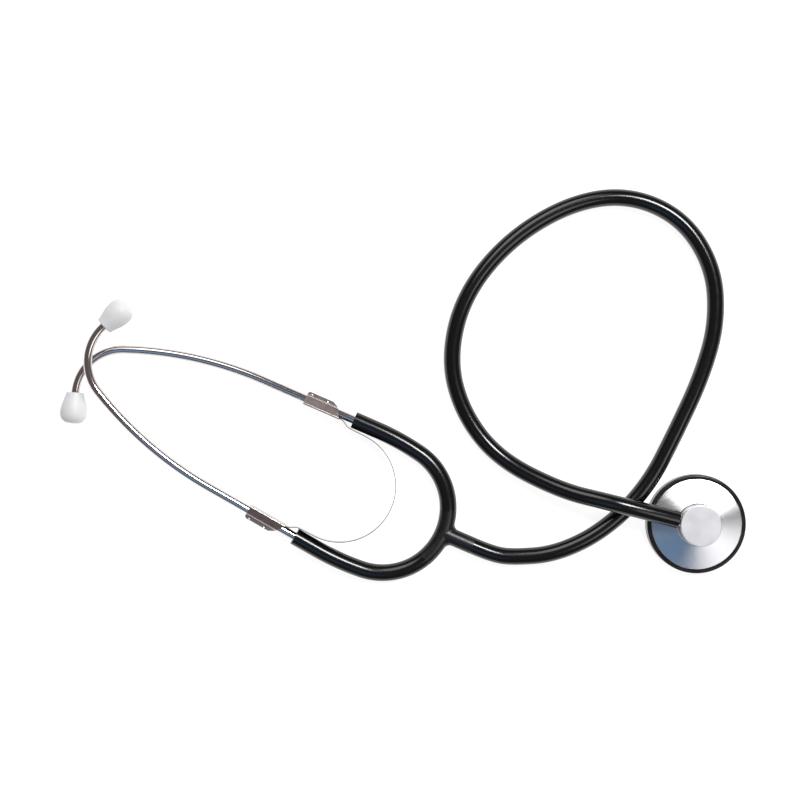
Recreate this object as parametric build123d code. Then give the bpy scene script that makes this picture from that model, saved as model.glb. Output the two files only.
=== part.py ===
from build123d import *
import os
from math import atan, cos, degrees, pi, radians, sin, sqrt, tan

# Single-head stethoscope, laid on a table as it would be put down.
# The origin is the centre of the chestpiece's face, +Z up, and +X runs along the
# headset's middle line from the ear tips to the fork. All lengths are millimetres.

# Tubing
tube_radius = 4.0
cord_end_gap = 0.05
ear_tube_radius = 2.0
ear_tube_wall = 0.5
slip_fit = 0.05
bore_radius = ear_tube_radius + slip_fit

# Fork: a half ring of tubing whose outlet leans a little where it lies bent
headset_x = -135.2
headset_y = -60.1
fork_radius = 30.8
fork_half_sweep = 24.0
outlet_lean = 3.8
outlet_length = 15.2
web_share = 0.09

# Arms, as the bends of each one from the fork to its mouth
arm_tight_end = 82.5
arm_slow_radius = 120.0
arm_slow_turn = 10.9
arm_mouth_straight = 12.2
arm_round_share = 0.99
insertion = 11.0

# Ear tubes, as the bends of each one from the arm's mouth to its tip
ear_straight = 46.4
ear_bow_radius = 175.0
ear_bow_turn = 22.2
ear_hook_radius = 22.3
ear_hook_turn = 85.9

# Ear tips
tip_length = 14.6
tip_socket_depth = 10.0
tip_neck_radius = 4.2
tip_radius = 6.15
tip_widest_at = 9.6
tip_hole_radius = 1.3
tip_edge_radius = 0.6
tip_foot_turn = 80.0
tip_dome_share = 0.72
tip_dome_drop = 0.9
tip_pass_gap = 0.5

# Leaf spring and the two clips that hold its ends against the ear tubes
blade_thickness = 0.3
blade_height = 5.0
blade_arm_gap = 0.38
blade_crown_x = -22.5
blade_bend_radius = 5.0
blade_lead = 1.5
blade_play = 0.2
sheet = 0.3
clip_start = 6.2
clip_end = 24.9
clip_slant = 3.0
flange_start = 12.1
flange_reach = 3.95
flange_corner = 1.3
dimple_radius = 1.2
dimple_depth = 0.12
dimple_inset = 2.4

# Chestpiece
ring_radius = 23.3
ring_height = 6.2
ring_wall = 1.75
ring_lip = 1.2
ring_lip_width = 4.0
ring_round = 0.8
ring_thread_fit = 0.05
diaphragm_thickness = 0.3
diaphragm_gap = 0.05
rim_height = 6.4
rim_chamfer = 0.4
hub_radius = 9.7
hub_foot = 8.8
hub_height = 16.5
hub_groove_height = 0.5
hub_groove_depth = 0.4
hub_groove_below = 1.1
hub_foot_round = 0.6
head_wall = 2.6
bell_depth = 3.4
sound_bore_radius = 1.5

# Stem, pressed into the side of the hub. Its axis meets the hub's axis at stem_height
# and rises outwards, so that the tube clears the cone and the ring.
stem_height = 11.3
stem_angle = 12.5
stem_pitch = 8.0
stem_collar_radius = 3.1
stem_collar_face = 10.6
stem_seat = 9.0
stem_root_radius = 2.6
stem_root_depth = 5.0
stem_bore_radius = 1.2
spigot_length = 9.0
barb_count = 3
barb_depth = 0.35

# Route of the main tube from the fork's outlet to the stem, chosen by eye.
# The first two and the last three points are worked out from the outlet and the stem.
first_run = 9.8
route_middle = [
    (-70.2, -53.5, 4.0),
    (-52.1, -42.5, 4.0),
    (-36.6, -21.5, 4.0),
    (-28.1, 6.0, 4.0),
    (-28.1, 35.0, 4.0),
    (-29.1, 63.5, 4.0),
    (-34.1, 89.0, 4.0),
    (-47.6, 112.0, 4.0),
    (-71.6, 126.0, 4.0),
    (-99.6, 124.0, 4.0),
    (-122.6, 107.0, 4.0),
    (-140.1, 78.0, 4.0),
    (-146.6, 45.5, 4.0),
    (-139.1, 16.0, 4.0),
    (-121.6, -3.5, 4.0),
    (-97.1, -15.0, 4.0),
    (-64.6, -15.0, 9.0),
]
hump_reach = 44.0
hump_height = 15.8
last_run_reach = 26.3
run_share = 0.45

quarter_turn = 90.0

os.makedirs("parts", exist_ok=True)


def save(solid, name):
    """Write one piece as a STEP file named after its node."""
    solid.label = name
    export_step(solid, f"parts/{name}.step")


def turned(angle, length=1.0):
    """A flat vector of the given length, at an angle in degrees from +X."""
    return Vector(length * cos(radians(angle)), length * sin(radians(angle)), 0)


def tube_along(path, outer, inner):
    """A round tube that follows a path, cut square at both ends."""
    start = Plane(path @ 0, z_dir=path % 0)
    section = start * (Circle(outer) - Circle(inner))
    return sweep(section, path=path)


# Shape of one half of the headset, seen from above with the fork's centre as origin.
# The left half is described, and the right one is its mirror image.
tight_half = (arm_tight_end - fork_half_sweep) / 4
tight_run = fork_radius * tan(radians(tight_half))
slow_run = arm_slow_radius * tan(radians(arm_slow_turn / 2))
arm_start = turned(fork_half_sweep, fork_radius)
arm_corner_radius = fork_radius / cos(radians(tight_half))
arm_corner_1 = turned(fork_half_sweep + tight_half, arm_corner_radius)
arm_corner_2 = turned(fork_half_sweep + 3 * tight_half, arm_corner_radius)
arm_corner_3 = turned(arm_tight_end, fork_radius) + turned(arm_tight_end + quarter_turn, slow_run)
mouth_heading = arm_tight_end + quarter_turn + arm_slow_turn
mouth = arm_corner_3 + turned(mouth_heading, slow_run + arm_mouth_straight)

# Each half tilts up from the fork: the left tip rests on the table, and the right
# half rises enough for the two tips to pass each other.
hook_heading = ear_bow_turn + ear_hook_turn
neck_x = (
    ear_straight
    + ear_bow_radius * sin(radians(ear_bow_turn))
    + ear_hook_radius * (sin(radians(hook_heading)) - sin(radians(ear_bow_turn)))
)
neck_y = ear_bow_radius * (1 - cos(radians(ear_bow_turn))) + ear_hook_radius * (
    cos(radians(ear_bow_turn)) - cos(radians(hook_heading))
)
widest_x = neck_x + tip_widest_at * cos(radians(hook_heading))
second_run = tight_run + slow_run
third_run = slow_run + arm_mouth_straight
rise_per_radian = 2 * tight_run / 3 + 2 * second_run / 3 + third_run + widest_x
left_tip_height = tip_radius
right_tip_height = left_tip_height + 2 * tip_radius + tip_pass_gap
pitches = {
    "left": (left_tip_height - tube_radius) / rise_per_radian,
    "right": (right_tip_height - tube_radius) / rise_per_radian,
}
rises = {
    side: (
        2 * tight_run * tan(pitch / 3),
        2 * tight_run * tan(pitch / 3) + second_run * tan(2 * pitch / 3),
        2 * tight_run * tan(pitch / 3) + second_run * tan(2 * pitch / 3) + third_run * tan(pitch),
    )
    for side, pitch in pitches.items()
}
signs = {"left": 1, "right": -1}


def on_table(point, side, rise=0.0):
    """Put a point of the half headset in its place on the table."""
    return Vector(headset_x + point.X, headset_y + signs[side] * point.Y, tube_radius + rise)


def mouth_frame(side):
    """The frame at an arm's mouth: its X runs out along the ear tube's first straight."""
    pitch = pitches[side]
    heading = turned(mouth_heading)
    along = Vector(heading.X * cos(pitch), signs[side] * heading.Y * cos(pitch), sin(pitch))
    up = Vector(-heading.X * sin(pitch), -signs[side] * heading.Y * sin(pitch), cos(pitch))
    return Plane(on_table(mouth, side, rises[side][2]), x_dir=along, z_dir=up)


def placed(solid, side):
    """Move a piece drawn for the left mouth's frame to its side of the headset."""
    if side == "right":
        solid = mirror(solid, about=Plane.XZ)
    return mouth_frame(side).location * solid


def arm_tube(side):
    """A soft arm of the moulding, from the fork to the mouth that grips the ear tube."""
    points = [
        on_table(arm_start, side),
        on_table(arm_corner_1, side),
        on_table(arm_corner_2, side, rises[side][0]),
        on_table(arm_corner_3, side, rises[side][1]),
        on_table(mouth, side, rises[side][2]),
    ]
    tight = arm_round_share * fork_radius
    slow = arm_round_share * arm_slow_radius
    path = FilletPolyline(*points, radius=[tight, tight, slow])
    return tube_along(path, tube_radius, bore_radius)


def fork_arc():
    """The fork's own stretch of the half ring."""
    start = turned(-fork_half_sweep, fork_radius)
    heading = turned(quarter_turn - fork_half_sweep)
    return JernArc(start, heading, fork_radius, 2 * fork_half_sweep)


def y_junction():
    """The moulded fork: an arc of tubing with a rounded web round its outlet."""
    arc = fork_arc()
    arc_start = Plane(arc @ 0, z_dir=arc % 0)
    outlet = Plane(turned(outlet_lean, fork_radius), z_dir=turned(outlet_lean))
    ring = sweep(arc_start * Circle(tube_radius), path=arc)
    stub = outlet * Cylinder(tube_radius, outlet_length, align=(Align.CENTER, Align.CENTER, Align.MIN))
    body = ring + stub
    body = fillet(body.edges().filter_by(GeomType.BSPLINE), web_share * fork_radius)
    ring_bore = sweep(arc_start * Circle(bore_radius), path=arc)
    stub_bore = outlet * Cylinder(bore_radius, outlet_length, align=(Align.CENTER, Align.CENTER, Align.MIN))
    return Pos(headset_x, headset_y, tube_radius) * (body - ring_bore - stub_bore)


def ear_tube():
    """A bent metal tube: a straight in the clip, a long bow and the hook to the ear."""
    straight = Line((-insertion, 0, 0), (ear_straight, 0, 0))
    bow = JernArc(straight @ 1, straight % 1, ear_bow_radius, ear_bow_turn)
    hook = JernArc(bow @ 1, bow % 1, ear_hook_radius, ear_hook_turn)
    end = Line(hook @ 1, hook @ 1 + (hook % 1) * (tip_socket_depth - slip_fit))
    path = Wire([straight, bow, hook, end])
    return tube_along(path, ear_tube_radius, ear_tube_radius - ear_tube_wall)


def ear_tip():
    """A turned plug, widest two thirds along, with a blind socket and a sound hole."""
    with BuildPart() as tip:
        with BuildSketch(Plane.XZ):
            with BuildLine():
                socket = Polyline(
                    (tip_hole_radius, tip_length),
                    (tip_hole_radius, tip_socket_depth),
                    (bore_radius, tip_socket_depth),
                    (bore_radius, 0),
                    (tip_neck_radius - tip_edge_radius, 0),
                )
                foot = JernArc(socket @ 1, (1, 0), tip_edge_radius, tip_foot_turn)
                cone = Spline(foot @ 1, (tip_radius, tip_widest_at), tangents=[foot % 1, (0, 1)])
                dome_corner = (tip_dome_share * tip_radius, tip_length - tip_dome_drop)
                dome = Spline(cone @ 1, dome_corner, (tip_hole_radius, tip_length), tangents=[(0, 1), (-1, 0)])
            make_face()
        revolve(axis=Axis.Z)
    frame = Plane(
        (neck_x, neck_y, 0),
        x_dir=(0, 0, 1),
        z_dir=turned(hook_heading),
    )
    return frame.location * tip.part


blade_radius = mouth.Y - tube_radius - blade_thickness / 2 - blade_arm_gap
blade_offset = ear_tube_radius + slip_fit + blade_thickness / 2
slot_face = blade_offset + blade_thickness / 2 + slip_fit
clip_length = clip_end - clip_start
slot_half = blade_height / 2 + clip_length * sin(pitches["right"]) / 2 + blade_play


def wrapped(round_radius, flat_at, half_height, corner):
    """The hull of a round and a flat: how sheet lies when it is drawn round both."""
    corners = [Pos(flat_at - corner, z) * Circle(corner) for z in (corner - half_height, half_height - corner)]
    outline = [Circle(round_radius)] + corners
    return make_hull([edge for shape in outline for edge in shape.edges()])


def spring_clip():
    """A folded clip: it wraps the ear tube and the blade, and its two edges meet in a flange."""
    outer = wrapped(bore_radius + sheet, slot_face + sheet, slot_half + sheet, 2 * sheet)
    inner = wrapped(bore_radius, slot_face, slot_half, blade_thickness / 2)
    flange = Pos(-(bore_radius + flange_reach) / 2, 0) * Rectangle(flange_reach - bore_radius, 2 * sheet)
    section = outer + flange - inner
    across = Plane((0, 0, 0), x_dir=(0, 1, 0), z_dir=(1, 0, 0))
    sleeve = extrude(across * section, clip_end)
    reach = slot_face + 2 * sheet
    outline = Polygon(
        (clip_start, reach),
        (clip_end, reach),
        (clip_end, -flange_reach),
        (flange_start, -flange_reach),
        (clip_start + clip_slant, -bore_radius - sheet),
        align=None,
    )
    ear_corner = outline.vertices().sort_by_distance((clip_end, -flange_reach))[0]
    neck_corner = outline.vertices().sort_by_distance((flange_start, -flange_reach))[0]
    outline = fillet(ear_corner, flange_corner)
    outline = fillet(outline.vertices().sort_by_distance(neck_corner)[0], flange_corner / 2)
    blank = extrude(outline, slot_half + 2 * sheet, both=True)
    clip = sleeve & blank
    middle = -(bore_radius + sheet + flange_reach) / 2
    for x in (flange_start + dimple_inset, clip_end - dimple_inset):
        for top in (1, -1):
            ball_height = top * (sheet + dimple_radius - dimple_depth)
            clip -= Pos(x, middle, ball_height) * Sphere(dimple_radius)
    return clip


def leaf_spring():
    """A thin band bent to a U, whose straight ends lie along the ear tubes in the clips."""
    heading = turned(mouth_heading)
    inward = Vector(-heading.Y, heading.X, 0)
    in_clip = mouth + heading * (clip_end - blade_play) + inward * blade_offset
    at_exit = mouth + heading * (clip_start - blade_lead) + inward * blade_offset
    beside_mouth = Vector(mouth.X - tube_radius / 4, blade_radius, 0)
    arc_start = Vector(blade_crown_x, blade_radius, 0)
    arc_end = Vector(blade_crown_x, -blade_radius, 0)
    leg = FilletPolyline(in_clip, at_exit, beside_mouth, arc_start, radius=blade_bend_radius)
    crown = ThreePointArc(arc_start, (blade_crown_x + blade_radius, 0), arc_end)
    band = trace([leg, crown, mirror(leg, about=Plane.XZ)], blade_thickness)
    left_z = clip_height("left")
    right_z = clip_height("right")
    middle = (left_z + right_z) / 2
    clip_y = (in_clip.Y + at_exit.Y) / 2
    lean = degrees(atan((left_z - right_z) / (2 * clip_y)))
    tall = extrude(band, 2 * middle + 2 * blade_height)
    size = 4 * fork_radius
    slab = Pos(blade_crown_x, 0, middle) * Rot(lean, 0, 0) * Box(size, size, blade_height)
    return Pos(headset_x, headset_y, 0) * (tall & slab)


def clip_height(side):
    """Height of the ear tube's centre at the middle of its clip."""
    middle = (clip_start + clip_end) / 2
    return tube_radius + rises[side][2] + middle * sin(pitches[side])


rim_radius = ring_radius - ring_wall - ring_thread_fit
diaphragm_bottom = ring_lip + diaphragm_gap
rim_face = diaphragm_bottom + diaphragm_thickness
stem_out = turned(2 * quarter_turn + stem_angle)
stem_base = Vector(0, 0, stem_height)
stem_axis = stem_out * cos(radians(stem_pitch)) + Vector(0, 0, sin(radians(stem_pitch)))
stem_up = stem_out * -sin(radians(stem_pitch)) + Vector(0, 0, cos(radians(stem_pitch)))
stem_frame = Plane(stem_base, x_dir=stem_up, z_dir=stem_axis)


def revolved(points):
    """Turn an outline of (radius, height) points about the chestpiece's axis."""
    face = make_face(Polyline(*points, close=True))
    return revolve(Plane.XZ * face, axis=Axis.Z)


def chest_head():
    """The turned head: a rim, a shallow cone and a hub, bored for the sound."""
    groove_top = hub_height - hub_groove_below
    groove_bottom = groove_top - hub_groove_height
    bell_radius = rim_radius - head_wall
    body = revolved([
        (0, rim_face + bell_depth),
        (bell_radius, rim_face),
        (rim_radius, rim_face),
        (rim_radius, rim_height - rim_chamfer),
        (rim_radius - rim_chamfer, rim_height),
        (hub_radius, hub_foot),
        (hub_radius, groove_bottom),
        (hub_radius - hub_groove_depth, groove_bottom),
        (hub_radius - hub_groove_depth, groove_top),
        (hub_radius, groove_top),
        (hub_radius, hub_height),
        (0, hub_height),
    ])
    foot = body.edges().filter_by(GeomType.CIRCLE).sort_by_distance((hub_radius, 0, hub_foot))[0]
    body = fillet(foot, hub_foot_round)
    top = body.edges().filter_by(GeomType.CIRCLE).sort_by_distance((hub_radius, 0, hub_height))[0]
    body = fillet(top, hub_groove_depth)
    bore_top = stem_height + sound_bore_radius
    body -= Pos(0, 0, bore_top / 2) * Cylinder(sound_bore_radius, bore_top)
    root_end = stem_seat - stem_root_depth
    cross_bore = stem_frame * Cylinder(sound_bore_radius, root_end, align=(Align.CENTER, Align.CENTER, Align.MIN))
    socket = stem_frame.offset(root_end) * Cylinder(
        stem_root_radius, stem_root_depth, align=(Align.CENTER, Align.CENTER, Align.MIN)
    )
    seat = stem_frame.offset(stem_seat) * Cylinder(
        stem_collar_radius + slip_fit, hub_radius, align=(Align.CENTER, Align.CENTER, Align.MIN)
    )
    return body - cross_bore - socket - seat


def stem():
    """The barbed stem: a plug in the hub, a collar and the spigot that holds the tube."""
    tip_radius_here = bore_radius - slip_fit
    root_end = stem_seat - stem_root_depth
    barb = spigot_length / barb_count
    outline = [
        (stem_bore_radius, root_end),
        (stem_root_radius, root_end),
        (stem_root_radius, stem_seat),
        (stem_collar_radius, stem_seat),
        (stem_collar_radius, stem_collar_face),
        (tip_radius_here - barb_depth, stem_collar_face),
    ]
    for index in range(barb_count):
        foot = stem_collar_face + index * barb
        outline.append((tip_radius_here - barb_depth, foot + barb / 3))
        outline.append((tip_radius_here, foot + barb / 3))
        outline.append((tip_radius_here - barb_depth, foot + barb))
    outline.append((stem_bore_radius, stem_collar_face + spigot_length))
    return stem_frame.location * revolved(outline)


def diaphragm():
    """A thin stiff disc, clamped between the ring's lip and the head's rim."""
    disc = Cylinder(rim_radius, diaphragm_thickness, align=(Align.CENTER, Align.CENTER, Align.MIN))
    return Pos(0, 0, diaphragm_bottom) * disc


def diaphragm_ring():
    """The screwed plastic ring that holds the diaphragm to the rim."""
    inner = ring_radius - ring_wall
    ring = revolved([
        (inner - ring_lip_width, 0),
        (ring_radius, 0),
        (ring_radius, ring_height),
        (inner, ring_height),
        (inner, ring_lip),
        (inner - ring_lip_width, ring_lip),
    ])
    top = ring.edges().filter_by(GeomType.CIRCLE).sort_by_distance((ring_radius, 0, ring_height))[0]
    return fillet(top, ring_round)


def route():
    """Corner points of the main tube, from the fork's outlet to the stem's collar."""
    outlet = turned(outlet_lean, fork_radius + outlet_length + cord_end_gap)
    first = Vector(headset_x, headset_y, tube_radius) + outlet
    second = first + turned(outlet_lean, first_run)
    middle = [Vector(*point) for point in route_middle]
    hump = stem_out * hump_reach + Vector(0, 0, hump_height)
    before_last = stem_base + stem_axis * last_run_reach
    last = stem_base + stem_axis * (stem_collar_face + cord_end_gap)
    return [first, second] + middle + [hump, before_last, last]


def arc_radii(points):
    """For each corner, a share of its shorter run over the tangent of half the turn."""
    radii = []
    for before, corner, after in zip(points, points[1:], points[2:]):
        run_in = corner - before
        run_out = after - corner
        half_turn = radians(run_in.get_angle(run_out)) / 2
        radii.append(run_share * min(run_in.length, run_out.length) / tan(half_turn))
    return radii


def main_tube():
    """The long soft tube, as straight runs joined by tangent arcs."""
    points = route()
    radii = arc_radii(points)
    path = FilletPolyline(*points, radius=radii)
    tube = tube_along(path, tube_radius, bore_radius)
    section = pi * (tube_radius**2 - bore_radius**2)
    print("main tube radii", [round(radius, 1) for radius in radii])
    print("main tube runs", [round((b - a).length, 1) for a, b in zip(points, points[1:])])
    print("main tube points", [tuple(round(value, 2) for value in point) for point in points])
    print("main tube length", round(path.length, 2), "volume over section", round(tube.volume / section, 2))
    return tube


def report_joints():
    """Print where the headset's joints lie, for the record."""
    for side in signs:
        frame = mouth_frame(side)
        neck = frame.from_local_coords(Vector(neck_x, signs[side] * neck_y, 0))
        heading = turned(hook_heading)
        out = frame.from_local_coords(Vector(neck_x + heading.X, signs[side] * (neck_y + heading.Y), 0)) - neck
        print(side, "neck", tuple(round(v, 3) for v in neck), "tip axis", tuple(round(v, 5) for v in out))
        print(side, "pitch", round(degrees(pitches[side]), 3), "mouth", tuple(round(v, 3) for v in frame.origin))
    print("stem axis", tuple(round(v, 5) for v in stem_axis))


save(main_tube(), "main_tube")
save(y_junction(), "y_junction")
save(leaf_spring(), "leaf_spring")
for side in signs:
    save(arm_tube(side), f"{side}_arm_tube")
    save(placed(ear_tube(), side), f"{side}_ear_tube")
    save(placed(ear_tip(), side), f"{side}_ear_tip")
    save(placed(spring_clip(), side), f"{side}_spring_clip")
save(chest_head(), "chest_head")
save(stem(), "stem")
save(diaphragm(), "diaphragm")
save(diaphragm_ring(), "diaphragm_ring")
report_joints()
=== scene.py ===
from math import cos, pi, radians, sin, tan

import bpy
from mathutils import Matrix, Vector


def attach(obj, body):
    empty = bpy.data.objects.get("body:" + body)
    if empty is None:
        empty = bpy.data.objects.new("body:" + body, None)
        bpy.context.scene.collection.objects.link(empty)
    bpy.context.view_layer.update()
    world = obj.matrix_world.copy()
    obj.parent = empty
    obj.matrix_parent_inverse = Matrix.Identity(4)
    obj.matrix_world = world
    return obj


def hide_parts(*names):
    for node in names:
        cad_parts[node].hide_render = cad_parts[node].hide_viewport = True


# A single-head stethoscope, laid on a white table and seen from straight above.
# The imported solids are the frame. Each section below dresses one piece or group of like
# pieces, in the order in which such a stethoscope is put together.
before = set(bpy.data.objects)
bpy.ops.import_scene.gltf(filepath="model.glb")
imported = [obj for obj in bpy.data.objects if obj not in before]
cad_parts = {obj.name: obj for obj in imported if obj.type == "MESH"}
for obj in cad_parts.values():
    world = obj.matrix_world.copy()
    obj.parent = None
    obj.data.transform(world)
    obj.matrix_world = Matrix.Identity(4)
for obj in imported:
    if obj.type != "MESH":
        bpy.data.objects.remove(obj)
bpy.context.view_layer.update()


# The viewpoint: straight above the table, turned so that the headset runs up to the left.
# The middle of the picture falls on this point of the table.
view_middle = (-0.1510, -0.0113)
view_height = 0.680
view_turn = 26.97
view_half_width = 0.190

camera_data = bpy.data.cameras.new("overhead")
camera_data.lens = camera_data.sensor_width / 2 * view_height / view_half_width
camera_data.clip_start = 0.01
camera_data.clip_end = 20.0
camera = bpy.data.objects.new("overhead", camera_data)
camera.location = (*view_middle, view_height)
camera.rotation_euler = (0.0, 0.0, radians(view_turn))
bpy.context.scene.collection.objects.link(camera)
bpy.context.scene.camera = camera
bpy.context.scene.view_settings.view_transform = "Standard"


# Main tube: one length of extruded soft vinyl, dyed black, from the fork's outlet round a
# loose loop, over itself and onto the chestpiece's stem. The die leaves it smooth and glossy.
tube_diameter = 0.008
tube_route = [
    (-0.08925, -0.05705, 0.00400),
    (-0.07947, -0.05640, 0.00400),
    (-0.07020, -0.05350, 0.00400),
    (-0.05210, -0.04250, 0.00400),
    (-0.03660, -0.02150, 0.00400),
    (-0.02810, 0.00600, 0.00400),
    (-0.02810, 0.03500, 0.00400),
    (-0.02910, 0.06350, 0.00400),
    (-0.03410, 0.08900, 0.00400),
    (-0.04760, 0.11200, 0.00400),
    (-0.07160, 0.12600, 0.00400),
    (-0.09960, 0.12400, 0.00400),
    (-0.12260, 0.10700, 0.00400),
    (-0.14010, 0.07800, 0.00400),
    (-0.14660, 0.04550, 0.00400),
    (-0.13910, 0.01600, 0.00400),
    (-0.12160, -0.00350, 0.00400),
    (-0.09710, -0.01500, 0.00400),
    (-0.06460, -0.01500, 0.00900),
    (-0.04296, -0.00952, 0.01580),
    (-0.02543, -0.00564, 0.01496),
    (-0.01030, -0.00228, 0.01278),
]


def colour(text):
    """A colour written as sRGB hex, as the linear values that a shader takes."""
    parts = [int(text[i:i + 2], 16) / 255 for i in (1, 3, 5)]
    linear = [p / 12.92 if p <= 0.04045 else ((p + 0.055) / 1.055) ** 2.4 for p in parts]
    return (*linear, 1.0)


def put(tree, kind, inputs=None, **settings):
    """Add a node, with its settings, and give its inputs values or other nodes' outputs."""
    made = tree.nodes.new(kind)
    for name, value in settings.items():
        setattr(made, name, value)
    for name, value in (inputs or {}).items():
        if isinstance(value, bpy.types.NodeSocket):
            tree.links.new(value, made.inputs[name])
        else:
            made.inputs[name].default_value = value
    return made


def new_material(name):
    """An empty material, its node tree, and the object's own coordinates in metres."""
    material = bpy.data.materials.new(name)
    material.use_nodes = True
    tree = material.node_tree
    tree.nodes.clear()
    place = put(tree, "ShaderNodeTexCoord").outputs["Object"]
    return material, tree, place


def close(tree, shader):
    """Send a shader to the material's output."""
    put(tree, "ShaderNodeOutputMaterial", {"Surface": shader.outputs[0]})


def per_metre(spacing_mm):
    """The noise scale whose features lie about this many millimetres apart."""
    return 1000.0 / spacing_mm


def soft_vinyl(name, shade, gloss_low, gloss_high, ripple_mm, ripple_depth):
    """Extruded or moulded black vinyl: near-black, clear gloss, a slow ripple from the die."""
    material, tree, place = new_material(name)
    ripple = put(tree, "ShaderNodeTexNoise", {"Vector": place, "Scale": per_metre(ripple_mm), "Detail": 2.0})
    haze = put(tree, "ShaderNodeTexNoise", {"Vector": place, "Scale": per_metre(3.0), "Detail": 4.0})
    gloss = put(tree, "ShaderNodeMapRange", {
        "Value": haze.outputs["Fac"],
        "From Min": 0.3, "From Max": 0.7, "To Min": gloss_low, "To Max": gloss_high,
    })
    bump = put(tree, "ShaderNodeBump", {
        "Height": ripple.outputs["Fac"],
        "Strength": 0.35, "Distance": ripple_depth,
    })
    close(tree, put(tree, "ShaderNodeBsdfPrincipled", {
        "Base Color": colour(shade),
        "Roughness": gloss.outputs["Result"],
        "IOR": 1.53,
        "Normal": bump.outputs["Normal"],
    }))
    return material


tube_vinyl = soft_vinyl("extruded_black_vinyl", "#08080A", 0.16, 0.19, 20.0, 0.00002)
tube_curve = bpy.data.curves.new("main_tube_vinyl", "CURVE")
tube_curve.dimensions = "3D"
tube_curve.bevel_depth = tube_diameter / 2
tube_curve.bevel_resolution = 10
tube_curve.resolution_u = 24
tube_curve.use_fill_caps = True
tube_spline = tube_curve.splines.new("NURBS")
tube_spline.points.add(len(tube_route) - 1)
for corner, point in zip(tube_spline.points, tube_route):
    corner.co = (*point, 1.0)
tube_spline.order_u = 3
tube_spline.use_endpoint_u = True
tube_curve.materials.append(tube_vinyl)
main_tube = bpy.data.objects.new("main_tube_vinyl", tube_curve)
bpy.context.scene.collection.objects.link(main_tube)
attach(main_tube, "tubing")
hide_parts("main_tube")


def dress(name, material):
    """Give a solid of the frame its finish."""
    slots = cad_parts[name].data.materials
    slots.clear()
    slots.append(material)


# Fork and arms: one soft vinyl moulding, black like the tube. The mould's skin is a little
# duller than the extruded tube, above all on the web where the three branches meet.
moulded_vinyl = soft_vinyl("moulded_black_vinyl", "#09090B", 0.18, 0.22, 16.0, 0.00002)
web_vinyl = soft_vinyl("matt_moulded_black_vinyl", "#09090B", 0.3, 0.4, 8.0, 0.0001)
dress("left_arm_tube", moulded_vinyl)
dress("right_arm_tube", moulded_vinyl)
dress("y_junction", web_vinyl)


# Ear tubes: drawn brass tube, bent and chromium plated. The plating is mirror-bright, with
# the faint lengthwise lines of the drawing die under it and a slightly warm cast.
chrome, tree, place = new_material("chromium_plated_tube")
smear = put(tree, "ShaderNodeTexNoise", {"Vector": place, "Scale": per_metre(12.0), "Detail": 3.0})
polish = put(tree, "ShaderNodeMapRange", {
    "Value": smear.outputs["Fac"],
    "From Min": 0.3, "From Max": 0.7, "To Min": 0.07, "To Max": 0.14,
})
close(tree, put(tree, "ShaderNodeBsdfPrincipled", {
    "Base Color": colour("#CFC9C7"),
    "Metallic": 1.0,
    "Roughness": polish.outputs["Result"],
}))

ear_diameter = 0.004
ear_inserted = 0.011
ear_straight = 0.0464
bow_radius, bow_turn = 0.175, 22.2
hook_radius, hook_turn, hook_arcs = 0.0223, 85.9, 4
ear_in_tip = 0.00995
ear_heading = 183.4
ear_mouths = {"left": (-0.166138, -0.029472, 0.00455), "right": (-0.166138, -0.090728, 0.007829)}
ear_pitches = {"left": 0.75, "right": 5.213}

# The middle line as straights and arcs, each a length or radius with its turn in degrees.
# A knot holds a place beside the mouth, a heading and the reach of its two handles.
stretches = [(ear_inserted + ear_straight, 0.0), (bow_radius, bow_turn)]
stretches += [(hook_radius, hook_turn / hook_arcs)] * hook_arcs + [(ear_in_tip, 0.0)]
point, heading = Vector((-ear_inserted, 0.0)), 0.0
ear_knots = []
reach_before = ear_inserted / 3
for size, turn in stretches:
    step = radians(turn)
    reach = 4 / 3 * tan(step / 4) * size if turn else size / 3
    ear_knots.append((point, heading, reach_before, reach))
    if turn:
        centre = point + size * Vector((-sin(heading), cos(heading)))
        point = centre + size * Vector((sin(heading + step), -cos(heading + step)))
    else:
        point = point + size * Vector((cos(heading), sin(heading)))
    heading += step
    reach_before = reach
ear_knots.append((point, heading, reach_before, reach_before))

for side, sign in (("left", 1), ("right", -1)):
    up = Vector((0.0, 0.0, 1.0))
    flat = Vector((cos(radians(ear_heading)), sign * sin(radians(ear_heading)), 0.0))
    inward = up.cross(flat) * sign
    along = flat * cos(radians(ear_pitches[side])) + up * sin(radians(ear_pitches[side]))
    curve = bpy.data.curves.new(f"{side}_ear_tube_chrome", "CURVE")
    curve.dimensions = "3D"
    curve.bevel_depth = ear_diameter / 2
    curve.bevel_resolution = 12
    curve.resolution_u = 32
    curve.use_fill_caps = True
    spline = curve.splines.new("BEZIER")
    spline.bezier_points.add(len(ear_knots) - 1)
    for knot, (beside, angle, reach_in, reach_out) in zip(spline.bezier_points, ear_knots):
        ahead = along * cos(angle) + inward * sin(angle)
        knot.co = Vector(ear_mouths[side]) + along * beside.x + inward * beside.y
        knot.handle_left_type = knot.handle_right_type = "FREE"
        knot.handle_left = knot.co - ahead * reach_in
        knot.handle_right = knot.co + ahead * reach_out
    curve.materials.append(chrome)
    ear_tube = bpy.data.objects.new(f"{side}_ear_tube_chrome", curve)
    bpy.context.scene.collection.objects.link(ear_tube)
    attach(ear_tube, f"{side}_binaural")
    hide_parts(f"{side}_ear_tube")


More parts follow.
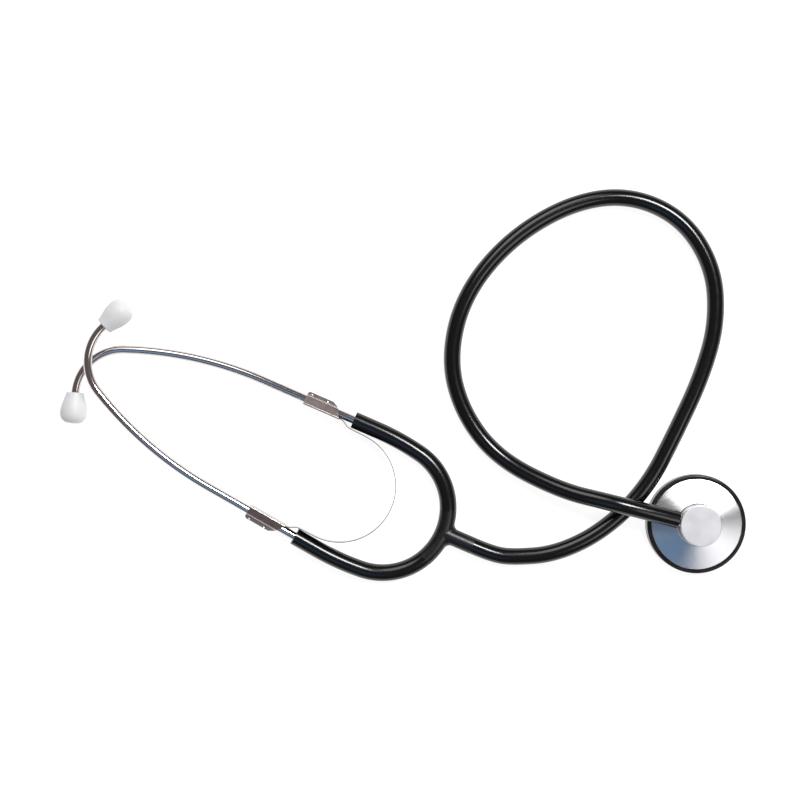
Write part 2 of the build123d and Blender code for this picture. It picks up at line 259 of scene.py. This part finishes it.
# Spring clips: folded from thin steel strip and spot-welded through the flange, then
# plated. The strip keeps its rolled, satin surface.
clip_steel, tree, place = new_material("plated_steel_strip")
grain = put(tree, "ShaderNodeTexNoise", {"Vector": place, "Scale": per_metre(3.0), "Detail": 2.0})
satin = put(tree, "ShaderNodeMapRange", {
    "Value": grain.outputs["Fac"],
    "From Min": 0.3, "From Max": 0.7, "To Min": 0.26, "To Max": 0.32,
})
close(tree, put(tree, "ShaderNodeBsdfPrincipled", {
    "Base Color": colour("#BDB3AF"),
    "Metallic": 1.0,
    "Roughness": satin.outputs["Result"],
}))
dress("left_spring_clip", clip_steel)
dress("right_spring_clip", clip_steel)


# Leaf spring: cold-rolled spring steel strip, bent on edge to a U. Its rolled faces are
# bright and its slit edges a little duller.
spring_steel, tree, place = new_material("rolled_spring_steel")
rolled = put(tree, "ShaderNodeTexNoise", {"Vector": place, "Scale": per_metre(2.0), "Detail": 3.0})
sheen = put(tree, "ShaderNodeMapRange", {
    "Value": rolled.outputs["Fac"],
    "From Min": 0.3, "From Max": 0.7, "To Min": 0.18, "To Max": 0.3,
})
close(tree, put(tree, "ShaderNodeBsdfPrincipled", {
    "Base Color": colour("#8C8A89"),
    "Metallic": 1.0,
    "Roughness": sheen.outputs["Result"],
}))
dress("leaf_spring", spring_steel)


# Ear tips: moulded from milky soft plastic. Light soaks in a little, so they look white
# all through, with a soft sheen and no sharp reflection.
milky, tree, place = new_material("milky_moulded_plastic")
cloud = put(tree, "ShaderNodeTexNoise", {"Vector": place, "Scale": per_metre(4.0), "Detail": 3.0})
tint = put(tree, "ShaderNodeMix", {
    "Factor": cloud.outputs["Fac"],
    "A": colour("#E2E2E2"),
    "B": colour("#E9E9E9"),
}, data_type="RGBA")
close(tree, put(tree, "ShaderNodeBsdfPrincipled", {
    "Base Color": tint.outputs["Result"],
    "Roughness": 0.42,
    "IOR": 1.49,
    "Subsurface Weight": 0.2,
    "Subsurface Radius": (0.004, 0.004, 0.004),
    "Subsurface Scale": 1.0,
}))
dress("left_ear_tip", milky)
dress("right_ear_tip", milky)


# Chest head: turned from aluminium bar. The tool's rings run round the axis, so each light
# spreads into a bright fan across them, and the fans meet at the hub.
turned_pitch_mm = 0.5
turned, tree, place = new_material("lathe_turned_aluminium")
rings = put(tree, "ShaderNodeTexWave", {
    "Vector": place,
    "Scale": 2 * pi / (20 * turned_pitch_mm / 1000),
    "Distortion": 0.6, "Detail": 2.0,
}, wave_type="RINGS", rings_direction="Z")
bump = put(tree, "ShaderNodeBump", {"Height": rings.outputs["Fac"], "Strength": 0.12, "Distance": 0.00005})
around = put(tree, "ShaderNodeTangent", direction_type="RADIAL", axis="Z")
close(tree, put(tree, "ShaderNodeBsdfPrincipled", {
    "Base Color": colour("#D9DADC"),
    "Metallic": 1.0,
    "Roughness": 0.24,
    "Anisotropic": 0.95,
    "Tangent": around.outputs["Tangent"],
    "Normal": bump.outputs["Normal"],
}))

# The hub's top and side were faced and polished after turning, so they shine as one satin.
# They are the faces within this radius and above this height.
hub_radius, hub_bottom = 0.0098, 0.0091
faced, tree, place = new_material("faced_satin_aluminium")
cloud = put(tree, "ShaderNodeTexNoise", {"Vector": place, "Scale": per_metre(6.0), "Detail": 2.0})
satin = put(tree, "ShaderNodeMapRange", {
    "Value": cloud.outputs["Fac"],
    "From Min": 0.3, "From Max": 0.7, "To Min": 0.36, "To Max": 0.42,
})
close(tree, put(tree, "ShaderNodeBsdfPrincipled", {
    "Base Color": colour("#DFE0E3"),
    "Metallic": 1.0,
    "Roughness": satin.outputs["Result"],
}))
dress("chest_head", turned)
head_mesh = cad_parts["chest_head"].data
head_mesh.materials.append(faced)
for face in head_mesh.polygons:
    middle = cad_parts["chest_head"].matrix_world @ face.center
    if middle.z > hub_bottom and middle.xy.length < hub_radius:
        face.material_index = 1


# Stem: turned brass, chromium plated, pressed into the hub's side.
stem_chrome, tree, place = new_material("chromium_plated_brass")
wear = put(tree, "ShaderNodeTexNoise", {"Vector": place, "Scale": per_metre(1.5), "Detail": 3.0})
plated = put(tree, "ShaderNodeMapRange", {
    "Value": wear.outputs["Fac"],
    "From Min": 0.3, "From Max": 0.7, "To Min": 0.1, "To Max": 0.2,
})
close(tree, put(tree, "ShaderNodeBsdfPrincipled", {
    "Base Color": colour("#D4D3D3"),
    "Metallic": 1.0,
    "Roughness": plated.outputs["Result"],
}))
dress("stem", stem_chrome)


# Diaphragm: a disc punched from stiff glass-filled sheet, pale grey with a fine weave.
film, tree, place = new_material("glass_filled_sheet")
weave = put(tree, "ShaderNodeTexChecker", {
    "Vector": place, "Scale": per_metre(0.7),
    "Color1": colour("#C3C6C6"), "Color2": colour("#CDD0D0"),
})
close(tree, put(tree, "ShaderNodeBsdfPrincipled", {
    "Base Color": weave.outputs["Color"],
    "Roughness": 0.32,
    "IOR": 1.55,
    "Coat Weight": 0.3,
}))
dress("diaphragm", film)


# Retaining ring: injection-moulded hard plastic, screwed over the rim. Black, with the
# clear gloss of a polished mould and the faintest flow marks.
ring_plastic, tree, place = new_material("moulded_black_plastic")
flow = put(tree, "ShaderNodeTexNoise", {"Vector": place, "Scale": per_metre(6.0), "Detail": 3.0})
mould = put(tree, "ShaderNodeMapRange", {
    "Value": flow.outputs["Fac"],
    "From Min": 0.3, "From Max": 0.7, "To Min": 0.18, "To Max": 0.3,
})
close(tree, put(tree, "ShaderNodeBsdfPrincipled", {
    "Base Color": colour("#0B0B0D"),
    "Roughness": mould.outputs["Result"],
    "IOR": 1.5,
}))
dress("diaphragm_ring", ring_plastic)


# Table: a plain white sheet, so evenly lit that hardly a shadow shows.
table_size = 3.0
white_table, tree, place = new_material("white_table")
close(tree, put(tree, "ShaderNodeBsdfPrincipled", {
    "Base Color": colour("#A8A8A8"),
    "Roughness": 0.9,
    "Emission Color": colour("#FFFFFF"),
    "Emission Strength": 0.88,
}))
corners = [(-1, -1), (1, -1), (1, 1), (-1, 1)]
table_mesh = bpy.data.meshes.new("table")
table_mesh.from_pydata(
    [(x * table_size / 2 + view_middle[0], y * table_size / 2 + view_middle[1], 0.0) for x, y in corners],
    [],
    [(0, 1, 2, 3)],
)
table_mesh.materials.append(white_table)
table = bpy.data.objects.new("table", table_mesh)
bpy.context.scene.collection.objects.link(table)


# Studio: a small strong lamp up and to the right, for the thin highlight on every tube, and
# broad panels round it: white, grey and faintly blue.
panel_distance = 1.6


def panel(name, bearing, tilt, size, strength, shade):
    """A round light that faces the middle of the picture, at a bearing seen in the picture."""
    data = bpy.data.lights.new(name, "AREA")
    data.shape = "DISK"
    data.size = size
    disc_area = pi * (size / 2) ** 2
    data.energy = strength * pi * disc_area
    data.color = colour(shade)[:3]
    lamp = bpy.data.objects.new(name, data)
    turn = radians(bearing + view_turn)
    lean = radians(tilt)
    back = Vector((cos(turn) * sin(lean), sin(turn) * sin(lean), cos(lean)))
    lamp.location = Vector((*view_middle, 0.0)) + back * panel_distance
    lamp.rotation_mode = "QUATERNION"
    lamp.rotation_quaternion = back.to_track_quat("Z", "Y")
    bpy.context.scene.collection.objects.link(lamp)


panel("key", 45, 31, 0.44, 34.0, "#FFFFFF")
panel("white_panel", 104, 40, 0.95, 3.2, "#FFFFFF")
panel("grey_panel", 326, 38, 0.8, 2.0, "#FDFDFF")
panel("blue_panel", 250, 32, 0.85, 1.15, "#4590C8")

world = bpy.data.worlds.new("studio")
world.use_nodes = True
world.node_tree.nodes.clear()
room = put(world.node_tree, "ShaderNodeBackground", {"Color": colour("#7A7270"), "Strength": 0.75})
put(world.node_tree, "ShaderNodeOutputWorld", {"Surface": room.outputs[0]})
bpy.context.scene.world = world
